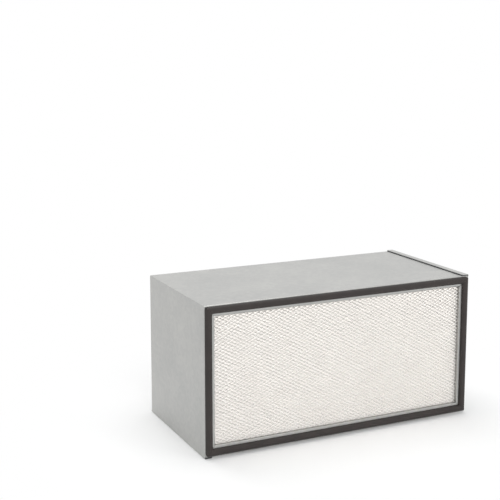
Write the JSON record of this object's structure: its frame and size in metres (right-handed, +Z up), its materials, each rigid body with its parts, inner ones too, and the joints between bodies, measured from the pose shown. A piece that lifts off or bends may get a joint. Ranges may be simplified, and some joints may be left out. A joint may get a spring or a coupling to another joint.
{
  "type": "hepa filter panel",
  "caption": "Box-type air filter: folded sheet-metal casing, half-round gasket round the front flange, and diamond-mesh guards over a deep-pleated paper pack.",
  "frame": {"origin": "centre of the bottom face of the bounding box, under the lap on the floor panel", "axes": "+X along the long side, to the right when the gasket face is seen upright; +Y from the gasket face to the rear face; +Z up"},
  "size_m": [0.61, 0.299, 0.305],
  "materials": {
    "galvanised_sheet": "satin",
    "lap_sealant": "matte",
    "gasket_foam": "satin",
    "guard_enamel": "satin",
    "glass_paper": "matte",
    "hot_melt": "satin",
    "potting_resin": "satin"
  },
  "bodies": {
    "root": {"casing_left_half": "galvanised_sheet", "casing_right_half": "galvanised_sheet", "lap_sealant_floor": "lap_sealant", "lap_sealant_roof": "lap_sealant", "gasket": "gasket_foam", "front_guard": "guard_enamel", "rear_guard": "guard_enamel", "pleated_sheet": "glass_paper", "front_spacer_beads": "hot_melt", "rear_spacer_beads": "hot_melt", "left_end_potting": "potting_resin", "right_end_potting": "potting_resin", "floor_pack_sealant": "potting_resin", "roof_pack_sealant": "potting_resin"}
  },
  "joints": []
}
